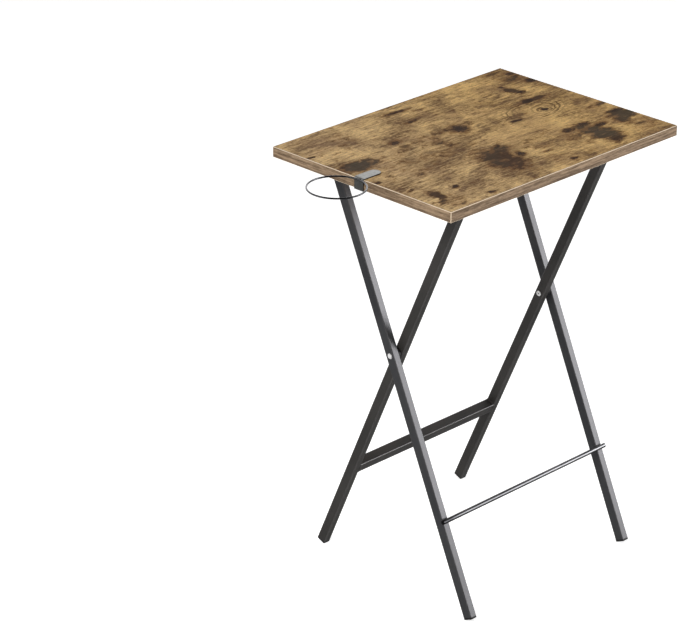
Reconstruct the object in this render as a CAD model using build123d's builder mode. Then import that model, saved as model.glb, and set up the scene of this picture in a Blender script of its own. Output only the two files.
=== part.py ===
from build123d import *
import os
from math import atan2, cos, degrees, radians, sin

os.makedirs("parts", exist_ok=True)

# A folding tray table: a wood-look tray on two pairs of crossed tube legs, with a clip-on cup ring.
# Millimetres and degrees. +Z is up, the floor is Z = 0, X runs along the tray's long side.
# The user sits on the -Y side. The outer legs lean back from their -Y feet to hinges under the
# tray's +Y side; the inner legs lean the other way and carry the tray's -Y side on their top bar.

# ---------------------------------------------------------------- driving sizes: tray
top_width = 482.0
top_depth = 349.0
top_thick = 16.0
top_height = 665.0
laminate_thick = 0.8
backing_thick = 0.5
band_thick = 1.5
band_round = 1.0

# ---------------------------------------------------------------- driving sizes: legs
tube_width = 12.0        # across the frame, along X
tube_depth = 16.0        # in the plane that the legs fold in
tube_wall = 1.2
tube_round = 1.5
outer_span = 354.0       # over the outer faces of the outer legs
leg_gap = 5.7            # from an outer leg to the inner leg beside it
pivot_height = 372.0
pivot_y = -1.0
hinge_inset = 58.4       # from the tray's +Y edge to the hinge pins
bar_inset = 59.5         # from its -Y edge to the top bar

# ---------------------------------------------------------------- driving sizes: bars
stop_rod_radius = 3.5
stop_rod_drop = 254.0    # below the pivot, measured along the outer legs
stop_rod_overhang = 3.0  # past each outer leg's outer face
stop_rod_bite = 0.4      # depth of the seat filed for it in each leg's front face
stop_rod_chamfer = 0.5
crossbar_height = 16.0   # along the inner legs
crossbar_drop = 241.0    # below the pivot, measured along the inner legs
bar_radius = 6.0
bar_wall = 1.2

# ---------------------------------------------------------------- driving sizes: end caps
cap_plate = 1.5          # what shows of a plug past its tube's end
foot_plate = 3.0
plug_depth = 3.0
foot_plug_depth = 14.0
foot_flat = 0.6          # how much of a foot's lowest corner is worn flat on the floor

# ---------------------------------------------------------------- driving sizes: pivots and hinges
rivet_radius = 2.5
rivet_head_radius = 4.2
rivet_head_height = 1.9
rivet_dome_rise = 0.72   # a point on the head's arc, as parts of its height and radius
rivet_dome_reach = 0.62
rivet_roll_radius = 4.2
rivet_roll_height = 1.6
rivet_bore_radius = 1.6
rivet_bore_depth = 7.0
spacer_radius = 7.0
pin_radius = 3.0
pin_head_radius = 5.5
pin_head_thick = 2.0
pin_head_round = 1.0
pin_drop = 14.0          # from the tray's underside to the hinge pins' axis
pin_end_thick = 1.0
washer_radius = 10.0
leg_end = 8.0            # from the hinge pin's or the top bar's axis to the end of its leg's plug
plate_thick = 1.8        # sheet steel of the hinge brackets
ear_radius = 8.5
ear_foot = 1.5           # half the width of an ear's foot, in ear radii
bracket_length = 54.0
bracket_screw_spacing = 38.0

# ---------------------------------------------------------------- driving sizes: catches
catch_roof = 6.0         # plastic between the tray's underside and the top bar
catch_base = 3.0
catch_width = 22.0
catch_jaw_thick = 5.0
catch_jaw_below = 3.5    # how far the jaw reaches below the top bar's axis
catch_roof_reach = 7.0   # how far the roof runs past the bar's axis, on the open side
catch_front = 26.0       # from the bar's axis to the ends of the base
catch_back = 22.0
catch_spacing = 200.0
catch_screw_inset = 5.5
catch_fillet = 5.0
catch_lip_round = 1.25

# ---------------------------------------------------------------- driving sizes: screws
screw_radius = 1.75
screw_head_radius = 3.6
screw_head_height = 2.2
screw_depth = 11.0       # of thread in the board
screw_head_round = 0.7
slot_length = 4.0
slot_width = 0.8
slot_depth = 1.1

# ---------------------------------------------------------------- driving sizes: cup holder
ring_radius = 42.1       # to the middle of the wire
wire_radius = 1.3
ring_drop = 0.5          # from the tray's upper face to the middle of the wire
ring_bite = 0.3          # depth of the weld in the clip
strip_thick = 1.5
strip_width = 17.5
strip_bend = 1.1         # inner radius of its two bends
tip_flat = 0.1           # left between the two rounds of each tip
tongue_length = 38.5     # over the tray, from its edge to the tip
under_length = 30.0      # the same, below the tray

# ---------------------------------------------------------------- clearances
move_gap = 0.3           # between pieces that move past each other
run_gap = 0.05           # radial, a pin in the hole that it turns in
ear_gap = 0.5            # between a hinge bracket's ear and the leg
pick = 0.1               # half the thickness of the slab that picks out an edge

# ---------------------------------------------------------------- places that follow from the sizes
underside = top_height - top_thick
holder_reach = move_gap + strip_thick - ring_bite + 2 * (ring_radius + wire_radius)
mid_x = holder_reach / 2                 # the origin is under the middle of the whole footprint
outer_x = (outer_span - tube_width) / 2  # middle of an outer leg, from the table's middle
inner_x = outer_x - tube_width - leg_gap
inner_face = inner_x - tube_width / 2    # the inner legs' facing sides

half_w, half_d = top_width / 2, top_depth / 2
pin_y = half_d - hinge_inset
pin_z = underside - pin_drop
bar_y = bar_inset - half_d
bar_z = underside - catch_roof - move_gap - bar_radius
outer_tilt = degrees(atan2(pin_y - pivot_y, pin_z - pivot_height))   # lean from upright
inner_tilt = degrees(atan2(pivot_y - bar_y, bar_z - pivot_height))
outer_sin, outer_cos = sin(radians(outer_tilt)), cos(radians(outer_tilt))
inner_cos = cos(radians(inner_tilt))
pin_reach = (pin_z - pivot_height) / outer_cos
bar_reach = (bar_z - pivot_height) / inner_cos


def foot_reach(tilt):
    """From the pivot to the end of a foot, whose lowest corner is worn flat on the floor."""
    lowest = pivot_height - tube_depth / 2 * sin(radians(tilt)) + foot_flat
    return lowest / cos(radians(tilt))


def leg_plane(x, tilt, lean):
    """A plane across a leg at the pivot: its Z runs up the leg, its -Y side is the front face."""
    up = (0, lean * sin(radians(tilt)), cos(radians(tilt)))
    return Plane(origin=(x, pivot_y, pivot_height), x_dir=(1, 0, 0), z_dir=up)


def outer_plane(side):
    return leg_plane(mid_x + side * outer_x, outer_tilt, 1)


def inner_plane(side):
    return leg_plane(mid_x + side * inner_x, inner_tilt, -1)


def tube_section():
    """The leg tube's wall, as a sketch."""
    RectangleRounded(tube_width, tube_depth, tube_round)
    RectangleRounded(tube_width - 2 * tube_wall, tube_depth - 2 * tube_wall,
                     tube_round / 2, mode=Mode.SUBTRACT)


def cross_hole(x, y, z, radius):
    """A hole along X, right through the leg whose middle is at x."""
    with BuildSketch(Plane.YZ.offset(x - tube_width)) as hole:
        with Locations((y, z)):
            Circle(radius)
    extrude(hole.sketch, amount=2 * tube_width, mode=Mode.SUBTRACT)


def save(piece, name):
    piece.part.label = name
    export_step(piece.part, f"parts/{name}.step")


sides = (("left", -1), ("right", 1))
rod_front = tube_depth / 2 + stop_rod_radius - stop_rod_bite


def rod_centre():
    """Where the stop rod's axis lies, in Y and Z."""
    y = pivot_y - stop_rod_drop * outer_sin - rod_front * outer_cos
    z = pivot_height - stop_rod_drop * outer_cos + rod_front * outer_sin
    return y, z


# ================================================================ outer legs
for name, side in sides:
    x = mid_x + side * outer_x
    plane = outer_plane(side)
    low = -foot_reach(outer_tilt) + foot_plate
    high = pin_reach + leg_end - cap_plate
    with BuildPart() as leg:
        with BuildSketch(plane.offset(low)):
            tube_section()
        extrude(amount=high - low)
        cross_hole(x, pivot_y, pivot_height, rivet_radius)
        cross_hole(x, pin_y, pin_z, pin_radius + run_gap)
        cross_hole(x, *rod_centre(), stop_rod_radius)
    save(leg, f"outer_leg_{name}")

# ================================================================ stop rod, welded across the outer legs
rod_half = outer_span / 2 + stop_rod_overhang
with BuildPart() as stop_rod:
    with BuildSketch(Plane.YZ.offset(mid_x - rod_half)):
        with Locations(rod_centre()):
            Circle(stop_rod_radius)
    extrude(amount=2 * rod_half)
    rod_ends = stop_rod.edges().filter_by(GeomType.CIRCLE)
    chamfer(rod_ends, length=stop_rod_chamfer)
save(stop_rod, "stop_rod")

# ================================================================ inner legs
for name, side in sides:
    x = mid_x + side * inner_x
    plane = inner_plane(side)
    low = -foot_reach(inner_tilt) + foot_plate
    high = bar_reach + leg_end - cap_plate
    with BuildPart() as leg:
        with BuildSketch(plane.offset(low)):
            tube_section()
        extrude(amount=high - low)
        cross_hole(x, pivot_y, pivot_height, rivet_radius + run_gap)
    save(leg, f"inner_leg_{name}")

# ================================================================ crossbar between the inner legs
bar_plane = inner_plane(0)
with BuildPart() as crossbar:
    across = Plane(origin=bar_plane.from_local_coords((-inner_face, 0, -crossbar_drop)),
                   x_dir=bar_plane.y_dir, z_dir=(1, 0, 0))
    with BuildSketch(across):
        RectangleRounded(tube_depth, crossbar_height, tube_round)
        RectangleRounded(tube_depth - 2 * tube_wall, crossbar_height - 2 * tube_wall,
                         tube_round / 2, mode=Mode.SUBTRACT)
    extrude(amount=2 * inner_face)
save(crossbar, "inner_crossbar")

# ================================================================ round bar across the inner legs' tops
with BuildPart() as top_bar:
    with BuildSketch(Plane.YZ.offset(mid_x - inner_face)):
        with Locations((bar_y, bar_z)):
            Circle(bar_radius)
            Circle(bar_radius - bar_wall, mode=Mode.SUBTRACT)
    extrude(amount=2 * inner_face)
save(top_bar, "inner_top_bar")


# ================================================================ plugs and feet
def plug(plane, tube_end, outward, plate, depth):
    """An end cap: a plate the size of the tube, and a plug that fills its end."""
    with BuildSketch(plane.offset(tube_end)) as end:
        RectangleRounded(tube_width, tube_depth, tube_round)
    extrude(end.sketch, amount=outward * plate)
    with BuildSketch(plane.offset(tube_end)) as bore:
        RectangleRounded(tube_width - 2 * tube_wall, tube_depth - 2 * tube_wall, tube_round / 2)
    extrude(bore.sketch, amount=-outward * depth)


for frame, plane_of, tilt, reach in (("outer", outer_plane, outer_tilt, pin_reach),
                                     ("inner", inner_plane, inner_tilt, bar_reach)):
    with BuildPart() as caps:
        for _, side in sides:
            plug(plane_of(side), reach + leg_end - cap_plate, 1, cap_plate, plug_depth)
    save(caps, f"{frame}_top_plugs")

    with BuildPart() as feet:
        for _, side in sides:
            plug(plane_of(side), foot_plate - foot_reach(tilt), -1, foot_plate, foot_plug_depth)
        with BuildSketch(Plane.XY):
            with Locations((mid_x, 0)):
                Rectangle(2 * outer_span, 4 * top_depth)
        extrude(amount=-top_thick, mode=Mode.SUBTRACT)
    save(feet, f"{frame}_feet")

# ================================================================ pivot rivets and their spacers
outer_face = outer_span / 2
spacer_thick = leg_gap - move_gap
roll_x = inner_face - move_gap           # where the rivet's rolled end begins
shank_end = roll_x - outer_face          # along the rivet, from the outer leg's outer face
rivet_end = shank_end - rivet_roll_height
with BuildPart() as rivets:
    for _, side in sides:
        profile = Plane(origin=(mid_x + side * outer_face, pivot_y, pivot_height),
                        x_dir=(side, 0, 0), z_dir=(0, -side, 0))
        with BuildSketch(profile):
            with BuildLine():
                ThreePointArc((rivet_head_height, 0),
                              (rivet_head_height * rivet_dome_rise,
                               rivet_head_radius * rivet_dome_reach),
                              (0, rivet_head_radius))
                Polyline((0, rivet_head_radius), (0, rivet_radius), (shank_end, rivet_radius),
                         (shank_end, rivet_roll_radius - rivet_roll_height / 2))
                ThreePointArc((shank_end, rivet_roll_radius - rivet_roll_height / 2),
                              (shank_end - rivet_roll_height / 2, rivet_roll_radius),
                              (rivet_end, rivet_roll_radius - rivet_roll_height / 2))
                Polyline((rivet_end, rivet_roll_radius - rivet_roll_height / 2),
                         (rivet_end, rivet_bore_radius),
                         (rivet_end + rivet_bore_depth, rivet_bore_radius),
                         (rivet_end + rivet_bore_depth, 0), (rivet_head_height, 0))
            make_face()
        revolve(axis=Axis((mid_x, pivot_y, pivot_height), (1, 0, 0)))
save(rivets, "pivot_rivets")

with BuildPart() as spacers:
    for _, side in sides:
        with BuildSketch(Plane.YZ.offset(mid_x + side * (outer_face - tube_width))):
            with Locations((pivot_y, pivot_height)):
                Circle(spacer_radius)
                Circle(rivet_radius, mode=Mode.SUBTRACT)
        extrude(amount=-side * spacer_thick)
save(spacers, "pivot_spacers")

# ================================================================ tray: board, skins and edge bands
band_box = (top_width - 2 * band_thick, top_depth - 2 * band_thick)
core_thick = top_thick - laminate_thick - backing_thick
core_low = underside + backing_thick
bracket_screws_at = [(mid_x + side * outer_x, pin_y + way * bracket_screw_spacing / 2)
                     for _, side in sides for way in (-1, 1)]
catch_screws_at = [(mid_x + side * catch_spacing / 2, y)
                   for _, side in sides
                   for y in (bar_y - catch_front + catch_screw_inset,
                             bar_y + catch_back - catch_screw_inset)]
screws_at = bracket_screws_at + catch_screws_at


def slab(low, thick):
    """A sheet of the tray inside its edge bands."""
    with BuildSketch(Plane.XY.offset(low)) as sheet:
        with Locations((mid_x, 0)):
            Rectangle(*band_box)
    extrude(sheet.sketch, amount=thick)


with BuildPart() as core:
    slab(core_low, core_thick)
    with BuildSketch(Plane.XY.offset(core_low)):
        with Locations(*screws_at):
            Circle(screw_radius)
    extrude(amount=screw_depth - backing_thick, mode=Mode.SUBTRACT)
save(core, "board_core")

with BuildPart() as laminate:
    slab(core_low + core_thick, laminate_thick)
save(laminate, "top_laminate")

with BuildPart() as backing:
    slab(underside, backing_thick)
    with BuildSketch(Plane.XY.offset(underside)):
        with Locations(*screws_at):
            Circle(screw_radius)
    extrude(amount=backing_thick, mode=Mode.SUBTRACT)
save(backing, "backing_sheet")

band_cuts = {
    "front": (0, -half_d + band_thick / 2, top_width, band_thick),
    "back": (0, half_d - band_thick / 2, top_width, band_thick),
    "left": (-half_w + band_thick / 2, 0, band_thick, band_box[1]),
    "right": (half_w - band_thick / 2, 0, band_thick, band_box[1]),
}
for name, (x, y, width, depth) in band_cuts.items():
    with BuildPart() as band:
        with BuildSketch(Plane.XY.offset(underside)):
            with Locations((mid_x, 0)):
                Rectangle(top_width, top_depth)
        extrude(amount=top_thick)
        fillet(band.edges(), radius=band_round)
        with BuildSketch(Plane.XY.offset(underside)):
            with Locations((mid_x + x, y)):
                Rectangle(width, depth)
        extrude(amount=top_thick, mode=Mode.INTERSECT)
    save(band, f"edge_band_{name}")

# ================================================================ hinge brackets under the tray
ear_inside = tube_width / 2 + ear_gap
bracket_half = ear_inside + plate_thick
for name, side in sides:
    x = mid_x + side * outer_x
    with BuildPart() as bracket:
        with BuildSketch(Plane.XY.offset(underside)):
            with Locations((x, pin_y)):
                RectangleRounded(2 * bracket_half, bracket_length, tube_round)
                with GridLocations(0, bracket_screw_spacing, 1, 2):
                    Circle(screw_radius, mode=Mode.SUBTRACT)
        extrude(amount=-plate_thick)
        for way in (-1, 1):
            with BuildSketch(Plane.YZ.offset(x + way * ear_inside)):
                with Locations((pin_y, pin_z)):
                    Circle(ear_radius)
                with BuildLine():
                    Polyline((pin_y - ear_radius, pin_z), (pin_y + ear_radius, pin_z),
                             (pin_y + ear_foot * ear_radius, underside - plate_thick),
                             (pin_y - ear_foot * ear_radius, underside - plate_thick), close=True)
                make_face()
                with Locations((pin_y, pin_z)):
                    Circle(pin_radius + run_gap, mode=Mode.SUBTRACT)
            extrude(amount=way * plate_thick)
    save(bracket, f"hinge_bracket_{name}")

stack_in = bracket_half + move_gap       # from the leg's middle to a washer's near face
washer_thick = leg_gap + tube_width / 2 - stack_in - pin_end_thick - move_gap
stack_out = stack_in + washer_thick
with BuildPart() as pins:
    for _, side in sides:
        x = mid_x + side * outer_x
        with BuildSketch(Plane.YZ.offset(x - side * stack_out)):
            with Locations((pin_y, pin_z)):
                Circle(pin_radius)
        extrude(amount=side * 2 * stack_out)
        with BuildSketch(Plane.YZ.offset(x + side * stack_out)):
            with Locations((pin_y, pin_z)):
                Circle(pin_head_radius)
        extrude(amount=side * pin_head_thick)
        with BuildSketch(Plane.YZ.offset(x - side * stack_out)):
            with Locations((pin_y, pin_z)):
                Circle(pin_head_radius - pin_head_round)
        extrude(amount=-side * pin_end_thick)
    head_rims = pins.edges().filter_by(GeomType.CIRCLE).group_by(SortBy.RADIUS)[-1]
    outside = [head_rims.sort_by(Axis.X)[0], head_rims.sort_by(Axis.X)[-1]]
    fillet(outside, radius=pin_head_round)
save(pins, "hinge_pins")

with BuildPart() as washers:
    for _, side in sides:
        for way in (-1, 1):
            with BuildSketch(Plane.YZ.offset(mid_x + side * outer_x + way * stack_in)):
                with Locations((pin_y, pin_z)):
                    Circle(washer_radius)
                    Circle(pin_radius, mode=Mode.SUBTRACT)
            extrude(amount=way * washer_thick)
save(washers, "hinge_washers")

# ================================================================ catches that the top bar rests in
for name, side in sides:
    x = mid_x + side * catch_spacing / 2
    jaw_in = bar_y - bar_radius - ear_gap
    with BuildPart() as catch:
        with BuildSketch(Plane.YZ.offset(x - catch_width / 2)):
            with BuildLine():
                Polyline((bar_y - catch_front, underside),
                         (bar_y - catch_front, underside - catch_base),
                         (jaw_in - catch_jaw_thick, underside - catch_base),
                         (jaw_in - catch_jaw_thick, bar_z - catch_jaw_below),
                         (jaw_in, bar_z - catch_jaw_below),
                         (jaw_in, underside - catch_roof),
                         (bar_y + catch_roof_reach, underside - catch_roof),
                         (bar_y + catch_roof_reach, underside - catch_base),
                         (bar_y + catch_back, underside - catch_base),
                         (bar_y + catch_back, underside), close=True)
            make_face()
        extrude(amount=catch_width)
        long_edges = catch.edges().filter_by(Axis.X)
        in_corner = long_edges.sort_by_distance((x, jaw_in, underside - catch_roof))[0]
        fillet(in_corner, radius=catch_fillet)
        lip = catch.edges().filter_by(Axis.X).group_by(Axis.Z)[0]
        fillet(lip, radius=catch_lip_round)
        with BuildSketch(Plane.XY.offset(underside)):
            with Locations((x, bar_y - catch_front + catch_screw_inset),
                           (x, bar_y + catch_back - catch_screw_inset)):
                Circle(screw_radius)
        extrude(amount=-catch_base, mode=Mode.SUBTRACT)
    save(catch, f"catch_{name}")


# ================================================================ screws
def screw(x, y, seat):
    """A pan-head screw driven upwards, its head against the face at Z = seat."""
    with BuildSketch(Plane.XY.offset(seat)) as shank:
        with Locations((x, y)):
            Circle(screw_radius)
    extrude(shank.sketch, amount=underside + screw_depth - seat)
    with BuildSketch(Plane.XY.offset(seat)) as head:
        with Locations((x, y)):
            Circle(screw_head_radius)
    extrude(head.sketch, amount=-screw_head_height)


def cross_slots(places, seat):
    """The cross recess in each screw's head."""
    with BuildSketch(Plane.XY.offset(seat - screw_head_height)) as cross:
        with Locations(*places):
            Rectangle(slot_length, slot_width)
            Rectangle(slot_width, slot_length)
    extrude(cross.sketch, amount=slot_depth, mode=Mode.SUBTRACT)


for name, places, seat in (("bracket_screws", bracket_screws_at, underside - plate_thick),
                           ("catch_screws", catch_screws_at, underside - catch_base)):
    with BuildPart() as screws:
        for place in places:
            screw(*place, seat)
        head_edges = screws.edges().filter_by(GeomType.CIRCLE).group_by(Axis.Z)[0]
        fillet(head_edges, radius=screw_head_round)
        cross_slots(places, seat)
    save(screws, name)

# ================================================================ clip-on cup holder
edge_x = mid_x - half_w
strip_in = edge_x - move_gap
strip_out = strip_in - strip_thick
top_in, under_in = top_height + move_gap, underside - move_gap
ring_x = strip_out + ring_bite - wire_radius - ring_radius
ring_z = top_height - ring_drop

with BuildPart() as clip:
    with BuildSketch(Plane.XZ.offset(-strip_width / 2)):
        with BuildLine():
            Polyline((edge_x + tongue_length, top_in), (strip_in, top_in), (strip_in, under_in),
                     (edge_x + under_length, under_in),
                     (edge_x + under_length, under_in - strip_thick),
                     (strip_out, under_in - strip_thick), (strip_out, top_in + strip_thick),
                     (edge_x + tongue_length, top_in + strip_thick), close=True)
        make_face()
    extrude(amount=strip_width)
    bends = clip.edges().filter_by(Axis.Y)
    inner_bends = bends.filter_by_position(Axis.X, strip_in - pick, strip_in + pick)
    fillet(inner_bends, radius=strip_bend)
    bends = clip.edges().filter_by(Axis.Y)
    outer_bends = bends.filter_by_position(Axis.X, strip_out - pick, strip_out + pick)
    fillet(outer_bends, radius=strip_bend + strip_thick)
    tips = clip.edges().filter_by(Axis.Z).filter_by_position(Axis.X, edge_x, mid_x)
    fillet(tips, radius=(strip_width - tip_flat) / 2)
    with Locations((ring_x, 0, ring_z)):
        Torus(ring_radius, wire_radius, mode=Mode.SUBTRACT)
save(clip, "holder_clip")

with BuildPart() as ring:
    with Locations((ring_x, 0, ring_z)):
        Torus(ring_radius, wire_radius)
save(ring, "holder_ring")
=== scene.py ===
# %% [markdown]
# # A folding tray table
# The real table is a wood-look tray on two pairs of crossed steel tubes, with a wire cup ring
# clipped to one end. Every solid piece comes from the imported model, which is the fixed frame. This
# lesson gives each piece its finish, adds the weld beads that hold the frame together, and sets up
# the studio. The model is in metres, and the patterns are in millimetres, in which a grain or a
# stain is easier to think of.

# %% Load the frame
from math import cos, pi, radians, sin

import bmesh
import bpy
from mathutils import Matrix, Vector


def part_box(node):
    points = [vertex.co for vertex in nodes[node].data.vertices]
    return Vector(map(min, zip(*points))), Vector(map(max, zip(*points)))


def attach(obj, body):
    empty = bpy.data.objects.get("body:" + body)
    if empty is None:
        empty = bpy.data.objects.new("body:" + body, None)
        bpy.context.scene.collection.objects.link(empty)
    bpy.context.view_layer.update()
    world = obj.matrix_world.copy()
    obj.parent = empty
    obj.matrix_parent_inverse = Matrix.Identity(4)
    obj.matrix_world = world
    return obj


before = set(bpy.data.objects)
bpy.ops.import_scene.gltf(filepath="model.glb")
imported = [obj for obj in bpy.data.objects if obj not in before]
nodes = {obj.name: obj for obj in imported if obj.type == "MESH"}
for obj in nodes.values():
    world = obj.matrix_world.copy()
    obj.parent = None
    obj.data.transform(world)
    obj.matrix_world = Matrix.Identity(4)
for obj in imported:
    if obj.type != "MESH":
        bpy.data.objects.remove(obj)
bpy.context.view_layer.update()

# %% [markdown]
# ## Small helpers for shader nodes
# A finish is a tree of nodes, and most lines of such a script only join one node to the next. The
# helper `add` makes a node and fills its inputs in order, with a number or with another node's
# output. Everything else here is one more step up: a noise of a stated size in millimetres, a soft
# threshold, a mix of two colours. That keeps each finish short enough to read as a recipe.

# %% Making and joining nodes
def put(tree, socket, value):
    """A constant goes on the socket, and another node's output is linked to it."""
    if isinstance(value, bpy.types.NodeSocket):
        tree.links.new(value, socket)
    else:
        socket.default_value = value


def add(tree, kind, *values, **settings):
    """A new node. Plain values fill its inputs in order; a capital letter names an input."""
    made = tree.nodes.new("ShaderNode" + kind)
    for key, value in settings.items():
        if key[0].islower():
            setattr(made, key, value)
    for index, value in enumerate(values):
        put(tree, made.inputs[index], value)
    for key, value in settings.items():
        if key[0].isupper():
            put(tree, made.inputs[key], value)
    return made


def calc(tree, operation, *values):
    """One sum on numbers, such as MULTIPLY or MAXIMUM."""
    return add(tree, "Math", *values, operation=operation).outputs[0]


def part_of(tree, vector, letter):
    """One component of a vector, called by its letter."""
    return add(tree, "SeparateXYZ", vector).outputs[letter]


def mix(tree, amount, under, over, blend="MIX"):
    """Two colours mixed by an amount from 0 to 1."""
    made = add(tree, "Mix", amount, data_type="RGBA", blend_type=blend)
    put(tree, made.inputs[6], under)
    put(tree, made.inputs[7], over)
    return made.outputs[2]


def spread(tree, value, low, high, to_low=0.0, to_high=1.0):
    """A soft threshold: low becomes to_low, high becomes to_high."""
    made = add(tree, "MapRange", value, low, high, to_low, to_high, interpolation_type="SMOOTHSTEP")
    return made.outputs[0]


def paint(red, green, blue):
    """A colour as on a paint card, from 0 to 255, turned into the linear light of a shader."""
    return (*[((c / 255 + 0.055) / 1.055) ** 2.4 for c in (red, green, blue)], 1.0)


# %% Patterns with a size in millimetres
def millimetres(tree, middle=(0.0, 0.0, 0.0)):
    """The piece's own coordinates in millimetres, from a middle given in metres."""
    own = add(tree, "TexCoord").outputs["Object"]
    shift = [-1000 * value for value in middle]
    return add(tree, "Mapping", own, Location=shift, Scale=(1000, 1000, 1000)).outputs[0]


def noise(tree, where, size, stretch=(1, 1, 1), detail=3.0, rough=0.5, output=0):
    """Cloudy noise with patches about size millimetres across, times a stretch along each axis."""
    per_mm = [1 / (size * factor) for factor in stretch]
    scaled = add(tree, "VectorMath", where, per_mm, operation="MULTIPLY").outputs[0]
    made = add(tree, "TexNoise", scaled, Scale=1.0, Detail=detail, Roughness=rough)
    return made.outputs[output]


def wander(tree, where, size, push):
    """Coordinates pushed about by noise, so that what is drawn on them gets a ragged outline."""
    cloud = noise(tree, where, size, stretch=(1.6, 1, 1), detail=2.0, output=1)
    middle = [-value / 2 for value in push]
    moved = add(tree, "VectorMath", cloud, push, middle, operation="MULTIPLY_ADD").outputs[0]
    return add(tree, "VectorMath", where, moved, operation="ADD").outputs[0]


def raised(tree, height, depth, strength):
    """A bump of the stated depth in metres."""
    return add(tree, "Bump", Height=height, Distance=depth, Strength=strength).outputs[0]


# %% Starting and giving out a finish
def finish(name, roughness, **shader_values):
    """A new material with one Principled shader, and constants set on the shader's own sockets."""
    material = bpy.data.materials.new(name)
    material.use_nodes = True
    shader = material.node_tree.nodes["Principled BSDF"]
    shader.inputs["Roughness"].default_value = roughness
    for key, value in shader_values.items():
        shader.inputs[key.replace("_", " ")].default_value = value
    return material, material.node_tree, shader


def give(material, *names):
    """The material goes on every slot of these frame pieces."""
    for name in names:
        slots = nodes[name].data.materials
        slots.clear()
        slots.append(material)
    print(material.name, "->", ", ".join(names))


# %% [markdown]
# ## The camera
# The object is seen from the corner between its short end with the cup ring and its long front
# side, from a little above, and from far away with a long lens, so that its edges stay nearly
# parallel. It could be turned by three angles, but those depend on the order in which they are
# taken. So it is placed by its matrix: three unit vectors for its right, its up and its back, and
# the place of its eye.

# %% Set the camera
camera_data = bpy.data.cameras.new("camera")
camera_data.sensor_fit = "HORIZONTAL"
camera_data.sensor_width = 36.0
camera_data.lens = 159.15
camera_data.clip_end = 60.0
camera = bpy.data.objects.new("camera", camera_data)
bpy.context.scene.collection.objects.link(camera)
eye = Vector((-2.96545, -2.7273, 2.1991))
right = Vector((0.7081075, -0.70609025, 0.00450871))
up = Vector((0.28516867, 0.29181315, 0.91297531))
turned = Matrix((right, up, right.cross(up))).transposed().to_4x4()
camera.matrix_world = Matrix.Translation(eye) @ turned
bpy.context.scene.camera = camera
print("camera", [round(v, 3) for v in camera.location], "lens", camera_data.lens)

# %% [markdown]
# ## The tray's face
# The real face is a printed sheet pressed onto particle board: a picture of old, stained boards.
# Such a picture has layers. The ground goes from tan to mid brown in wide clouds. Long stains and
# round knots lie at chosen places, with ragged outlines. Fine grain runs along the tray's length,
# and faint saw marks cross it. The whole print grows warmer from the cup ring's end to the other.
# A painted image would be the quick way, but it would be tied to one size, so here each layer is
# built from noise, and every stain is a soft ellipse that noise has pushed out of shape.

# %% Where the stains and knots lie
# each is: middle along X and Y, half sizes along X and Y, all in mm from the tray's middle, depth
STAINS = [
    (-208, 34, 40, 20, 1.0), (-10, 47, 75, 11, 0.55), (-56, 20, 15, 42, 0.5),
    (-84, -24, 26, 24, 0.4), (-44, -92, 34, 58, 0.85), (-22, -62, 30, 16, 0.8),
    (138, -116, 24, 48, 0.95), (222, -84, 30, 22, 1.0), (206, -98, 20, 16, 0.8),
    (219, 132, 26, 32, 0.5), (172, 46, 42, 9, 0.8), (176, 92, 10, 24, 0.75),
    (-211, -116, 12, 28, 0.8), (-172, -46, 18, 12, 0.55), (-166, 112, 10, 34, 0.4),
    (96, -100, 26, 16, 0.5), (229, -36, 28, 8, 0.7), (-130, 0, 60, 20, 0.35),
    (-214, -146, 34, 26, 0.45), (218, -128, 26, 26, 0.55), (-70, -30, 70, 26, 0.35),
    (-100, 36, 60, 12, 0.45), (100, -128, 40, 26, 0.35), (216, 150, 30, 30, 0.4),
    (-140, 128, 12, 44, 0.4), (-150, -40, 44, 14, 0.35), (60, -60, 40, 14, 0.3),
    (-214, -28, 30, 24, 0.35), (-212, 92, 30, 24, 0.3), (-152, 26, 36, 22, 0.3),
    (-94, 30, 36, 18, 0.3), (34, -88, 28, 22, 0.35), (30, -146, 34, 20, 0.35),
]
KNOTS = [
    (4, 38, 19, 18, 0.9), (-106, 64, 12, 10, 0.8), (-14, 148, 34, 6, 0.8),
    (-24, 107, 18, 6, 0.75), (16, 134, 14, 4, 0.6), (-231, 105, 11, 4, 0.9),
    (-232, -29, 9, 6, 0.8), (-224, -80, 10, 4, 0.7), (-168, -112, 9, 6, 0.85),
    (-144, -162, 8, 5, 0.8), (32, -156, 10, 6, 0.8), (31, -110, 10, 4, 0.6),
    (-8, -93, 12, 13, 0.75), (-11, -49, 10, 8, 0.7), (114, -78, 15, 10, 0.8),
    (146, -76, 18, 9, 0.8), (166, -92, 16, 8, 0.8), (89, 2, 13, 5, 1.0),
    (109, 15, 12, 6, 0.6), (153, 6, 8, 8, 1.0), (162, 46, 18, 8, 0.8),
    (181, 79, 9, 9, 0.8), (176, 111, 6, 7, 0.8), (231, 146, 13, 8, 0.8),
    (234, 105, 14, 11, 0.9), (136, -150, 18, 16, 0.6), (226, -70, 18, 9, 0.8),
]
print(len(STAINS), "stains and", len(KNOTS), "knots")


# %% Blots with soft edges
BLOT_HEART = 0.2             # inside this a blot is solid, counted in half sizes of its ellipse
BLOT_RIM = 1.6               # past this nothing of it is left


def half_sizes_away(tree, where, x, y, half_x, half_y):
    """The distance from an ellipse's middle, which is 1 on the ellipse itself."""
    scale, shift = (1 / half_x, 1 / half_y, 0), (-x / half_x, -y / half_y, 0)
    local = add(tree, "VectorMath", where, scale, shift, operation="MULTIPLY_ADD").outputs[0]
    return add(tree, "VectorMath", local, operation="LENGTH").outputs["Value"]


def blots(tree, where, places):
    """How deep in a blot each point is: the deepest of all the soft ellipses."""
    deepest = None
    for *ellipse, depth in places:
        distance = half_sizes_away(tree, where, *ellipse)
        blot = spread(tree, distance, BLOT_RIM, BLOT_HEART, 0.0, depth)
        deepest = blot if deepest is None else calc(tree, "MAXIMUM", deepest, blot)
    return deepest


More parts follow.
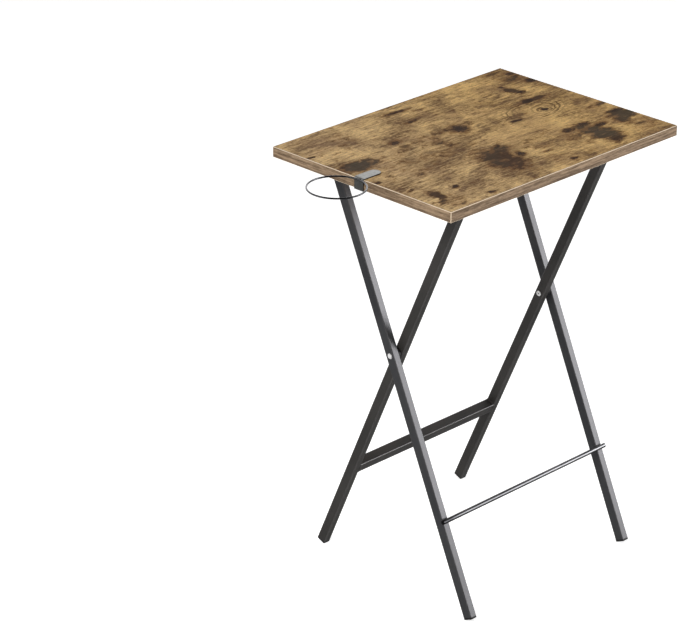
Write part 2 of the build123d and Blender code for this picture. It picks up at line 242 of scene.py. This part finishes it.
# %% [markdown]
# The knot at the far right has the growth rings of the branch that it once was, and the grain
# flows round it in arches. Both are the same thing in a shader: a ring wave about a middle, shown
# only between an inner and an outer limit. One ring wave is nearly round, the other is drawn out
# along the grain.

# %% Rings round a knot
def growth_rings(tree, where, ellipse, count, inside):
    """Dark rings about a middle, so many to the half sizes, from an inner limit outwards."""
    distance = half_sizes_away(tree, where, *ellipse)
    ripple = calc(tree, "SINE", calc(tree, "MULTIPLY", distance, 2 * pi * count))
    not_outside = spread(tree, distance, 1.2, 0.85)
    not_inside = spread(tree, distance, inside, inside + 0.15)
    near = calc(tree, "MULTIPLY", not_outside, not_inside)
    return calc(tree, "MULTIPLY", spread(tree, ripple, 0.0, 0.8), near)


# %% Ways to lay one print colour over another
def chorus(tree, *parts):
    """Noises added about their middle, each with its weight."""
    total = 0.5
    for cloud, weight in parts:
        centred = calc(tree, "SUBTRACT", cloud, 0.5)
        total = calc(tree, "MULTIPLY_ADD", centred, weight, total)
    return total


def patchy(tree, amount, cloud, reach, low, high):
    """An amount broken up by a noise: it covers solidly where deep, and in flecks where not."""
    centred = calc(tree, "MULTIPLY_ADD", cloud, reach, -reach / 2)
    return spread(tree, calc(tree, "ADD", amount, centred), low, high)


def over(tree, under, amount, strength, colour):
    """A print colour laid over another one, never quite solid."""
    return mix(tree, calc(tree, "MULTIPLY", amount, strength), under, colour)


# %% The noises that the face is made of
TRAY_MIDDLE = (0.04415, 0.0, 0.657)     # in metres; the print is laid out from here
HALF_TRAY = 240                         # nearly half the tray's length, in mm
face, tree, shader = finish("rustic_face", 0.6, Specular_IOR_Level=0.03)
where = millimetres(tree, TRAY_MIDDLE)
loose = wander(tree, where, 30, push=(16, 10, 0))
loose = wander(tree, loose, 6, push=(8, 6, 0))
clouds = noise(tree, loose, 52, stretch=(1.7, 1, 1), detail=4.0, rough=0.6)
mottle = noise(tree, loose, 12, stretch=(1.7, 1, 1), detail=6.0, rough=0.7)
crumbs = noise(tree, where, 3.6, stretch=(1.8, 1, 1), detail=5.0, rough=0.75)
streaks = noise(tree, loose, 3.6, stretch=(11, 1, 1), detail=4.0, rough=0.6)
blush = noise(tree, where, 75)
tone = noise(tree, where, 90, detail=1.0)
grain = noise(tree, where, 1.7, stretch=(15, 1, 1), detail=5.0, rough=0.65)
saw = noise(tree, where, 2.6, stretch=(1, 20, 1), detail=2.0)

# %% The ground, then the stains, knots and rings over it
light = chorus(tree, (clouds, 1.3), (mottle, 1.0), (crumbs, 1.1), (streaks, 0.8))
light = spread(tree, light, 0.12, 0.9)
ground = mix(tree, light, paint(96, 68, 42), paint(224, 188, 130))
ground = over(tree, ground, spread(tree, blush, 0.48, 0.66), 0.3, paint(138, 106, 78))
stains = blots(tree, loose, STAINS)
knots = blots(tree, loose, KNOTS)
halo = patchy(tree, calc(tree, "MAXIMUM", stains, knots), mottle, 2.4, 0.18, 0.6)
stain = patchy(tree, stains, mottle, 2.4, 0.42, 0.8)
knot = patchy(tree, knots, crumbs, 1.8, 0.45, 0.8)
stain_colour = mix(tree, spread(tree, tone, 0.4, 0.6), paint(62, 43, 30), paint(66, 57, 45))
printed = over(tree, ground, halo, 0.8, paint(112, 76, 42))
printed = over(tree, printed, stain, 0.92, stain_colour)
printed = over(tree, printed, knot, 0.96, paint(44, 30, 23))
round_rings = growth_rings(tree, loose, (153, 6, 21, 17), count=2.2, inside=0.3)
arches = growth_rings(tree, loose, (138, 14, 56, 33), count=6.0, inside=0.5)
rings = calc(tree, "MAXIMUM", round_rings, arches)
rings = calc(tree, "MULTIPLY", rings, spread(tree, mottle, 0.4, 0.55, 0.2, 1.0))
printed = over(tree, printed, rings, 0.85, paint(66, 44, 26))
printed = over(tree, printed, spread(tree, crumbs, 0.55, 0.66), 0.6, paint(78, 54, 32))

# %% Grain and saw marks over all of it, and the print's drift in warmth
grain_shade = spread(tree, grain, 0.3, 0.7, 0.76, 1.2)
saw_shade = spread(tree, saw, 0.35, 0.65, 0.92, 1.06)
worn = calc(tree, "MULTIPLY", grain_shade, saw_shade)
printed = mix(tree, 1.0, printed, worn, blend="MULTIPLY")
along = spread(tree, part_of(tree, where, "X"), -HALF_TRAY, HALF_TRAY)
warmth = mix(tree, along, (0.96, 0.985, 1.08, 1), (1.04, 1.0, 0.86, 1))
printed = mix(tree, 1.0, printed, warmth, blend="MULTIPLY")
put(tree, shader.inputs["Base Color"], printed)
put(tree, shader.inputs["Roughness"], spread(tree, mottle, 0.3, 0.7, 0.52, 0.66))
put(tree, shader.inputs["Normal"], raised(tree, grain, depth=0.00012, strength=0.5))
give(face, "top_laminate")

# %% [markdown]
# ## The edge bands
# A band is a strip of the same kind of print, ironed onto the sawn edge, so its grain runs along
# the edge, in long narrow streaks. Its rounded corners are painted pale, a painted highlight for
# the light they catch, and the band is darker toward its lower edge. The long and the short bands
# share one recipe, whose noises are drawn out along X for the ones and along Y for the others, and
# that needs no second set of coordinates. A rounded corner is found from the surface itself, so no
# edge has to be picked by hand: on a flat face one component of the direction it faces is 1, and on
# a rounded corner none is.

# %% A mask for rounded corners
def rounded_corners(tree, lean=0.0, flat=0.985, rounded=0.9):
    """1 on a rounded corner, 0 on the flat faces of a piece that leans about X by an angle."""
    facing = add(tree, "TexCoord").outputs["Normal"]
    upright = add(tree, "VectorRotate", facing, rotation_type="X_AXIS", Angle=lean).outputs[0]
    sizes = add(tree, "VectorMath", upright, operation="ABSOLUTE").outputs[0]
    x, y, z = add(tree, "SeparateXYZ", sizes).outputs
    largest = calc(tree, "MAXIMUM", calc(tree, "MAXIMUM", x, y), z)
    return spread(tree, largest, flat, rounded)


# %% The bands' finish, one for each direction of grain
# stains are given as on the face: middle, half sizes and depth
BAND_STAINS = [
    (120, -174, 60, 40, 0.12), (-60, -174, 40, 40, 0.15), (-241, 60, 20, 34, 0.25),
    (-241, -50, 20, 26, 0.35), (-150, 174, 60, 30, 0.25), (90, 174, 50, 30, 0.3),
    (241, 40, 20, 50, 0.3),
]
DARKER_FROM, DARKER_TO = -3.0, -7.0         # mm below the band's middle, where its edge darkens


def band_finish(name, along_x, along_y):
    """The bands' print, with its grain drawn out along X or along Y."""
    material, tree, shader = finish(name, 0.6, Specular_IOR_Level=0.12)
    where = millimetres(tree, TRAY_MIDDLE)
    streaky = (along_x * 30 + 1, along_y * 30 + 1, 1)
    stubby = (along_x * 4 + 1, along_y * 4 + 1, 1)
    loose = wander(tree, where, 40, push=(3, 3, 3))
    coarse = noise(tree, loose, 2.8, stretch=streaky, detail=4.0, rough=0.6)
    grain = noise(tree, where, 0.7, stretch=streaky, rough=0.6)
    crumbs = noise(tree, where, 2.2, stretch=stubby, detail=4.0, rough=0.7)
    light = chorus(tree, (coarse, 1.4), (crumbs, 0.9), (grain, 0.5))
    light = spread(tree, light, 0.15, 0.85)
    wood = mix(tree, light, paint(86, 69, 53), paint(152, 129, 104))
    # the band is made darker toward its lower edge
    low_edge = spread(tree, part_of(tree, where, "Z"), DARKER_FROM, DARKER_TO)
    wood = over(tree, wood, low_edge, 0.5, paint(78, 64, 52))
    shade = patchy(tree, blots(tree, where, BAND_STAINS), coarse, 1.0, 0.1, 0.9)
    wood = over(tree, wood, shade, 0.85, paint(66, 53, 43))
    # painted highlight: the rounded corners are made pale, in place of the light that they catch
    wood = over(tree, wood, rounded_corners(tree), 0.9, paint(240, 220, 194))
    put(tree, shader.inputs["Base Color"], wood)
    put(tree, shader.inputs["Normal"], raised(tree, grain, depth=0.0001, strength=0.5))
    return material


give(band_finish("band_grain_long", 1, 0), "edge_band_front", "edge_band_back")
give(band_finish("band_grain_short", 0, 1), "edge_band_left", "edge_band_right")

# %% [markdown]
# ## Under the tray
# The backing is a brown paper sheet that keeps the board from bending. It is matt, with short
# fibres and faint clouds. The board itself shows only inside its screw holes: wood chips of every
# tone pressed in glue, which is what a cell pattern is good for.

# %% Backing sheet
backing, tree, shader = finish("backing_paper", 0.7, Specular_IOR_Level=0.25)
where = millimetres(tree, TRAY_MIDDLE)
fibre = noise(tree, where, 1.2, stretch=(9, 1, 1), detail=4.0, rough=0.65)
cloud = noise(tree, where, 70, stretch=(1.6, 1, 1), detail=4.0)
sheet = mix(tree, spread(tree, cloud, 0.35, 0.65), paint(112, 86, 60), paint(136, 108, 78))
sheet = mix(tree, spread(tree, fibre, 0.45, 0.7, 0, 0.5), sheet, paint(86, 64, 44))
put(tree, shader.inputs["Base Color"], sheet)
put(tree, shader.inputs["Normal"], raised(tree, fibre, depth=0.0001, strength=0.4))
give(backing, "backing_sheet")

# %% Particle board
CHIP = 2.0                   # a wood chip's size in mm
board, tree, shader = finish("particle_board", 0.85)
where = millimetres(tree, TRAY_MIDDLE)
chips = add(tree, "TexVoronoi", wander(tree, where, 3, push=(2, 2, 1)), Scale=1 / CHIP)
chip_tone = add(tree, "SeparateColor", chips.outputs["Color"]).outputs[0]
chip_colour = mix(tree, chip_tone, paint(150, 118, 78), paint(206, 176, 130))
put(tree, shader.inputs["Base Color"], chip_colour)
put(tree, shader.inputs["Normal"],
    raised(tree, chips.outputs["Distance"], depth=0.0004, strength=0.6))
give(board, "board_core")

# %% [markdown]
# ## Powder coat on the tubes
# The tubes are sprayed with dark powder and baked, which leaves a satin skin with a very fine
# orange peel. It is nearly black, so what the eye reads is its reflection, which is faintly violet:
# pale on the sides that face the lamp, dark on the others. So the recipe spends its detail on
# roughness and bump, and keeps the colour dark with only a slow drift and fine grit. The rounded
# corners are given a lower roughness, and a paler colour that is a painted highlight, for the bright
# line that the lamp draws along them. The two pairs of legs lean different ways, and the mask for
# corners has to lean with them. The wider pair came from a slightly cooler batch of powder.

# %% The tubes' finish, one for each pair of legs
OUTER_LEAN = radians(24.0)              # how far each pair of legs leans from upright
INNER_LEAN = radians(23.3)
VIOLET = (0.985, 0.965, 1.0, 1.0)       # the tint of the coat's reflections
SMOOTHER = -0.08                        # what a rounded corner adds to the roughness


def powder_coat(name, lean, dark, pale):
    """Satin powder coat between two tones, for tubes that lean about X by an angle."""
    material, tree, shader = finish(name, 0.32, Specular_IOR_Level=0.78, Specular_Tint=VIOLET)
    where = millimetres(tree)
    drift = noise(tree, where, 90)
    peel = noise(tree, where, 1.3, detail=2.0, rough=0.45)
    grit = noise(tree, where, 0.35, detail=2.0, rough=0.7)
    corner = rounded_corners(tree, lean, flat=0.98, rounded=0.86)
    skin = mix(tree, spread(tree, drift, 0.35, 0.65), dark, pale)
    skin = over(tree, skin, spread(tree, grit, 0.55, 0.75), 0.4, paint(72, 71, 70))
    # painted highlight: the rounded corners are made a little paler, for the lamp's bright line on
    # them
    skin = over(tree, skin, corner, 0.3, paint(112, 110, 110))
    put(tree, shader.inputs["Base Color"], skin)
    satin = spread(tree, drift, 0.3, 0.7, 0.28, 0.35)
    put(tree, shader.inputs["Roughness"], calc(tree, "MULTIPLY_ADD", corner, SMOOTHER, satin))
    put(tree, shader.inputs["Normal"], raised(tree, peel, depth=0.00004, strength=0.3))
    return material


outer_coat = powder_coat("outer_powder_coat", OUTER_LEAN, paint(43, 44, 47), paint(50, 51, 53))
inner_coat = powder_coat("inner_powder_coat", -INNER_LEAN, paint(45, 44, 42), paint(52, 50, 48))
give(outer_coat, "outer_leg_left", "outer_leg_right")
give(inner_coat, "inner_leg_left", "inner_leg_right", "inner_crossbar", "inner_top_bar")

# %% [markdown]
# ## Moulded plastic
# Feet, plugs, spacers and catches are moulded from black plastic in a tool that was spark-eroded,
# so their skin is a fine matt leather. Modelled, that leather would take millions of faces. A
# small, even bump looks the same, with a high roughness that varies a little from place to place.

# %% The plastic's finish
plastic, tree, shader = finish("moulded_plastic", 0.6, Specular_IOR_Level=0.4)
where = millimetres(tree)
spark = noise(tree, where, 0.45, detail=2.0, rough=0.6)
handled = noise(tree, where, 12)
black = mix(tree, spread(tree, handled, 0.35, 0.65), paint(26, 26, 27), paint(38, 37, 37))
put(tree, shader.inputs["Base Color"], black)
put(tree, shader.inputs["Roughness"], spread(tree, handled, 0.3, 0.7, 0.5, 0.66))
put(tree, shader.inputs["Normal"], raised(tree, spark, depth=0.00008, strength=0.6))
give(plastic, "outer_feet", "inner_feet", "outer_top_plugs", "inner_top_plugs",
     "pivot_spacers", "catch_left", "catch_right")

# %% [markdown]
# ## Bare and plated metal
# Six finishes differ only in colour, in roughness and in the way their scratches run: a drawn rod
# is scratched along its length, a clip that was tumbled has no direction, and zinc plate has pale
# crystal patches. One recipe with those few values makes them all, so that they look like one
# family of parts. The rivets are painted near white, a painted highlight that makes the whole head
# read bright, and they mirror less than bare metal does.

# %% A recipe for metal
def metal(name, dark, pale, roughness, patch, scratch, stretch=(1, 1, 1), bare=1.0):
    """Metal between two tones. Patches and scratches have their size in mm."""
    material, tree, shader = finish(name, roughness, Metallic=bare)
    where = millimetres(tree)
    patches = noise(tree, where, patch)
    lines = noise(tree, where, scratch, stretch, rough=0.6)
    colour = mix(tree, spread(tree, patches, 0.35, 0.65), dark, pale)
    colour = mix(tree, spread(tree, lines, 0.55, 0.75, 0, 0.3), colour, dark)
    put(tree, shader.inputs["Base Color"], colour)
    put(tree, shader.inputs["Roughness"],
        spread(tree, lines, 0.3, 0.7, roughness * 0.8, roughness * 1.25))
    put(tree, shader.inputs["Normal"], raised(tree, lines, depth=0.00003, strength=0.4))
    return material


def lay_over(material, amount, strength, colour):
    """One more colour over what a metal's recipe gave."""
    tree = material.node_tree
    socket = tree.nodes["Principled BSDF"].inputs["Base Color"]
    before = socket.links[0].from_socket
    put(tree, socket, over(tree, before, amount, strength, colour))


# %% Rivets, hinges, screws and wire
# painted highlight: the rivet heads are made near white, so they read as bright dots
rivet = metal("rivet_painted_highlight", paint(222, 222, 224), paint(240, 240, 240), roughness=0.42,
              patch=3, scratch=0.4, bare=0.3)
zinc = metal("zinc_plate", paint(168, 170, 172), paint(198, 200, 202), roughness=0.36,
             patch=3.5, scratch=0.5, stretch=(4, 1, 1))
screw = metal("yellow_screw", paint(170, 160, 132), paint(196, 188, 160), roughness=0.32,
              patch=2, scratch=0.3, stretch=(1, 1, 3))
wire = metal("polished_wire", paint(104, 104, 107), paint(116, 116, 118), roughness=0.08,
             patch=10, scratch=0.3)
give(rivet, "pivot_rivets")
give(zinc, "hinge_pins", "hinge_washers", "hinge_bracket_left", "hinge_bracket_right")
give(screw, "bracket_screws", "catch_screws")
give(wire, "holder_ring")

# %% [markdown]
# The stop rod is welded on bare. It is painted dark at its left end, a painted shade where it meets
# the near leg, and toward the right it is painted brighter and brighter, a painted highlight in
# place of the lamp's reflection. The mask for both is just a place along X.

# %% The stop rod
rod_left, rod_right = [end.x * 1000 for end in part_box("stop_rod")]
rod_steel = metal("drawn_rod", paint(98, 98, 100), paint(110, 110, 112), roughness=0.28,
                  patch=30, scratch=0.3, stretch=(60, 1, 1))
tree = rod_steel.node_tree
along = part_of(tree, millimetres(tree), "X")
painted_highlight_right = spread(tree, along, rod_left + 80, rod_right)
painted_shade_left = spread(tree, along, rod_left + 34, rod_left + 12)
# painted highlight: paler toward the right end, in place of the lamp's reflection on the rod
lay_over(rod_steel, painted_highlight_right, 0.5, paint(146, 146, 148))
# painted shade: the left end, where the rod meets the near leg, is made dark
lay_over(rod_steel, painted_shade_left, 0.8, paint(50, 50, 52))
give(rod_steel, "stop_rod")

# %% [markdown]
# The clip was cut from plated strip, so its two broad faces are bright. Its cut edges are made
# dark, partly as bare cut steel and partly as a painted shadow along the tongue's edge. All the cut
# edges face along Y, so that direction is their mask.

# %% The holder's clip
clip = metal("tumbled_clip", paint(156, 156, 154), paint(172, 172, 169), roughness=0.36,
             patch=6, scratch=0.5)
tree = clip.node_tree
sideways = part_of(tree, add(tree, "TexCoord").outputs["Normal"], "Y")
cut_edge_and_painted_shadow = spread(tree, calc(tree, "ABSOLUTE", sideways), 0.4, 0.8)
# painted shadow: the cut edges are darkened, partly bare steel and partly shade under the tongue
lay_over(clip, cut_edge_and_painted_shadow, 0.9, paint(52, 52, 54))
give(clip, "holder_clip")

# %% [markdown]
# ## Weld beads
# The crossbar and the top bar are welded between the inner legs, the stop rod across the outer
# ones, and the wire ring to its clip. A bead is a run of overlapping pools of metal, so it is a
# thin tube that swells and narrows at each pool. It is made from rings of vertices along a path,
# each bridged to the next, which keeps the mesh closed and its faces even.

# %% A bead along a path
POOL = 0.0013                # from one pool of a bead to the next
BEAD = 0.0011                # half the width of a bead at its widest
WAIST = 0.7                  # how wide it is between pools, against its widest
FACETS = 8                   # sides of its cross-section


def bead_mesh(name, paths, radius, closed):
    """Rippled tubes along paths. A path is a list of points in metres."""
    mesh = bmesh.new()
    for path in paths:
        loops = []
        count = len(path)
        for i, point in enumerate(path):
            ahead = path[(i + 1) % count] if closed or i < count - 1 else point
            behind = path[i - 1] if closed or i > 0 else point
            aim = (Vector(ahead) - Vector(behind)).to_track_quat("Z", "X").to_matrix().to_4x4()
            ring = bmesh.ops.create_circle(mesh, segments=FACETS,
                                           radius=radius * (1.0 if i % 2 else WAIST),
                                           matrix=Matrix.Translation(point) @ aim)["verts"]
            edges = {edge for corner in ring for edge in corner.link_edges}
            loops.append(sorted(edges, key=lambda edge: edge.index))
        pairs = list(zip(loops, loops[1:])) + ([(loops[-1], loops[0])] if closed else [])
        for one, other in pairs:
            bmesh.ops.bridge_loops(mesh, edges=one + other)
        if not closed:
            bmesh.ops.holes_fill(mesh, edges=loops[0] + loops[-1], sides=FACETS)
    bmesh.ops.recalc_face_normals(mesh, faces=mesh.faces)
    for facet in mesh.faces:
        facet.smooth = True
    data = bpy.data.meshes.new(name)
    mesh.to_mesh(data)
    mesh.free()
    made = bpy.data.objects.new(name, data)
    bpy.context.scene.collection.objects.link(made)
    print(name, len(data.polygons), "faces")
    return made


def middle_of(name):
    """The middle of a frame piece's box."""
    low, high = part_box(name)
    return (low + high) / 2


# %% Where the inner legs meet the crossbar and the top bar
LEG_INSIDE = 0.1473          # from the table's middle plane to the inner legs' facing sides
BAR_HALF = 0.008             # half the crossbar's width
BAR_CORNER = 0.0015          # its rounded corners' radius
ROUND_BEAD = 0.0061          # from the top bar's middle line to its beads'
ROUND_COUNT = 30             # points round the top bar
crossbar = middle_of("inner_crossbar")
top_bar = middle_of("inner_top_bar")
facing_sides = [crossbar.x + way * LEG_INSIDE for way in (-1, 1)]


def around_crossbar(x):
    """Points round a rounded square bar that leans with the inner legs, a pool apart."""
    side = BAR_HALF - BAR_CORNER
    steps = round(2 * side / POOL)
    lean = Matrix.Rotation(INNER_LEAN, 2)
    points = []
    for turn in range(4):
        angle = turn * pi / 2
        for i in range(steps + 1):
            run = -side + 2 * side * i / steps
            point = Vector((BAR_HALF * cos(angle) - run * sin(angle),
                            BAR_HALF * sin(angle) + run * cos(angle)))
            points.append(Vector((x, *(Vector(crossbar.yz) + lean @ point))))
    return points


def around_top_bar(x):
    """Points round the top bar."""
    angles = [2 * pi * i / ROUND_COUNT for i in range(ROUND_COUNT)]
    return [Vector((x, top_bar.y + ROUND_BEAD * cos(angle), top_bar.z + ROUND_BEAD * sin(angle)))
            for angle in angles]


# %% Welds round the crossbar and the top bar
bar_paths = [around_crossbar(x) for x in facing_sides] + [around_top_bar(x) for x in facing_sides]
inner_welds = bead_mesh("inner_welds", bar_paths, BEAD, True)
inner_welds.data.materials.append(inner_coat)
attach(inner_welds, "inner_frame")

# %% Welds above and below the stop rod
ROD_DEEP = 0.0030            # from the rod's middle line toward the leg, to the beads
ROD_APART = 0.0022           # from the rod's middle line up or down the leg, to a bead
LEG_START = 0.0045           # from the leg's middle line to a bead's first point
ROD_POOLS = 8
rod = middle_of("stop_rod")
up_leg = Vector((0, sin(OUTER_LEAN), cos(OUTER_LEAN)))
into_leg = Vector((0, cos(OUTER_LEAN), -sin(OUTER_LEAN)))
rod_paths = []
for leg_side in ("outer_leg_left", "outer_leg_right"):
    start = middle_of(leg_side).x - LEG_START
    for way in (-1, 1):
        seat = rod + into_leg * ROD_DEEP + up_leg * way * ROD_APART
        rod_paths.append([Vector((start + i * POOL, seat.y, seat.z)) for i in range(ROD_POOLS)])
outer_welds = bead_mesh("outer_welds", rod_paths, BEAD, False)
outer_welds.data.materials.append(outer_coat)
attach(outer_welds, "outer_frame")

# %% Welds above and below the wire ring, on its clip
FINE_BEAD = 0.0007           # these beads are thinner
CLIP_PROUD = 0.0002          # how far their middle line stands off the clip
WIRE_HALF = 0.0013           # half the wire's width
RING_POOLS = 7
clip_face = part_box("holder_clip")[0].x
low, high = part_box("holder_ring")
ring_height = (low.z + high.z) / 2
ring_paths = []
for way in (-1, 1):
    height = ring_height + way * WIRE_HALF
    ring_paths.append([Vector((clip_face - CLIP_PROUD, (i - RING_POOLS // 2) * POOL, height))
                       for i in range(RING_POOLS)])
ring_welds = bead_mesh("ring_welds", ring_paths, FINE_BEAD, False)
ring_welds.data.materials.append(clip)
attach(ring_welds, "cup_holder")

# %% [markdown]
# ## The studio
# The floor is white card on a light table, so it gives a little light of its own and shadows stay
# faint. Metal and satin paint need something dark to mirror, or they look like chalk. So the floor
# is left out of reflections, the sky is dark below the horizon and dimmer overhead, and one corner
# of the room is nearly black. The wall opposite that corner is bright just above the horizon, which
# gives the wire ring its shining ends. One large lamp stands low at the right, where the outer
# legs' front faces mirror it, and that is what makes them pale. A second lamp, high at the left,
# only lights the table, and is left out of reflections too.

# %% Floor
FLOOR_DROP = 0.0004          # a hair below the feet, so that the two don't share a plane
floor_mesh = bmesh.new()
bmesh.ops.create_grid(floor_mesh, x_segments=2, y_segments=2, size=12.0)
floor_data = bpy.data.meshes.new("floor")
floor_mesh.to_mesh(floor_data)
floor_mesh.free()
floor_data.transform(Matrix.Translation((0, 0, -FLOOR_DROP)))
floor = bpy.data.objects.new("floor", floor_data)
bpy.context.scene.collection.objects.link(floor)
card, tree, shader = finish("white_card", 0.9, Specular_IOR_Level=0.1, Emission_Strength=0.62)
shader.inputs["Emission Color"].default_value = (1, 1, 1, 1)
card_cloud = noise(tree, millimetres(tree), 400, detail=2.0)
card_white = mix(tree, card_cloud, (0.88, 0.88, 0.88, 1), (0.92, 0.92, 0.92, 1))
put(tree, shader.inputs["Base Color"], card_white)
floor_data.materials.append(card)
floor.visible_glossy = False
print("floor", [round(v, 4) for v in floor.dimensions])

# %% Sky
DARK_CORNER = (-0.646, -0.645, 0.408)   # unit directions from the table
BRIGHT_WALL = (0.707, 0.707, 0)
DIM = 0.14                              # overhead and below the horizon
NEARLY_BLACK = 0.06
WALL_GLOW = 2.6


def toward(tree, way, direction):
    """How far a way agrees with a direction: 1 is the same, 0 is square to it."""
    return add(tree, "VectorMath", way, direction, operation="DOT_PRODUCT").outputs["Value"]


sky = bpy.data.worlds.new("sky")
bpy.context.scene.world = sky
sky.use_nodes = True
tree = sky.node_tree
way = add(tree, "TexCoord").outputs["Generated"]
height = part_of(tree, way, "Z")
overhead = spread(tree, height, 0.45, 0.7, 1.0, DIM)
above = spread(tree, height, -0.08, 0.03, DIM, 1.0)
corner = spread(tree, toward(tree, way, DARK_CORNER), 0.45, 0.8, 1.0, NEARLY_BLACK)
soft = calc(tree, "MULTIPLY", calc(tree, "MULTIPLY", overhead, above), corner)
wall = spread(tree, toward(tree, way, BRIGHT_WALL), 0.6, 0.85, 0, WALL_GLOW)
wall = calc(tree, "MULTIPLY", wall, spread(tree, height, 0.22, 0.08))
glow = calc(tree, "MULTIPLY_ADD", wall, above, soft)
background = tree.nodes["Background"]
put(tree, background.inputs["Strength"], glow)
background.inputs["Color"].default_value = (1, 1, 1, 1)
print("sky of", len(tree.nodes), "nodes")


# %% Lamps
def lamp(name, place, target, size, power, tint, mirrored):
    """A square soft lamp at a place, turned to a target, that shiny pieces mirror or not."""
    light = bpy.data.lights.new(name, "AREA")
    light.shape = "SQUARE"
    light.size = size
    light.energy = power
    light.color = tint
    made = bpy.data.objects.new(name, light)
    bpy.context.scene.collection.objects.link(made)
    aim = (Vector(target) - Vector(place)).to_track_quat("-Z", "Y").to_matrix().to_4x4()
    made.matrix_world = Matrix.Translation(place) @ aim
    made.visible_glossy = mirrored
    print("lamp", name, power, "W")


lamp("low_right", place=(1.66, -1.8, 0.86), target=(0.1, -0.02, 0.4), size=1.5, power=34,
     tint=(0.98, 0.985, 1.0), mirrored=True)
lamp("high_left", place=(-2.0, -0.5, 2.3), target=(0.0, 0.0, 0.6), size=1.5, power=56,
     tint=(1.0, 0.99, 0.96), mirrored=False)
bpy.context.scene.view_settings.view_transform = "Standard"
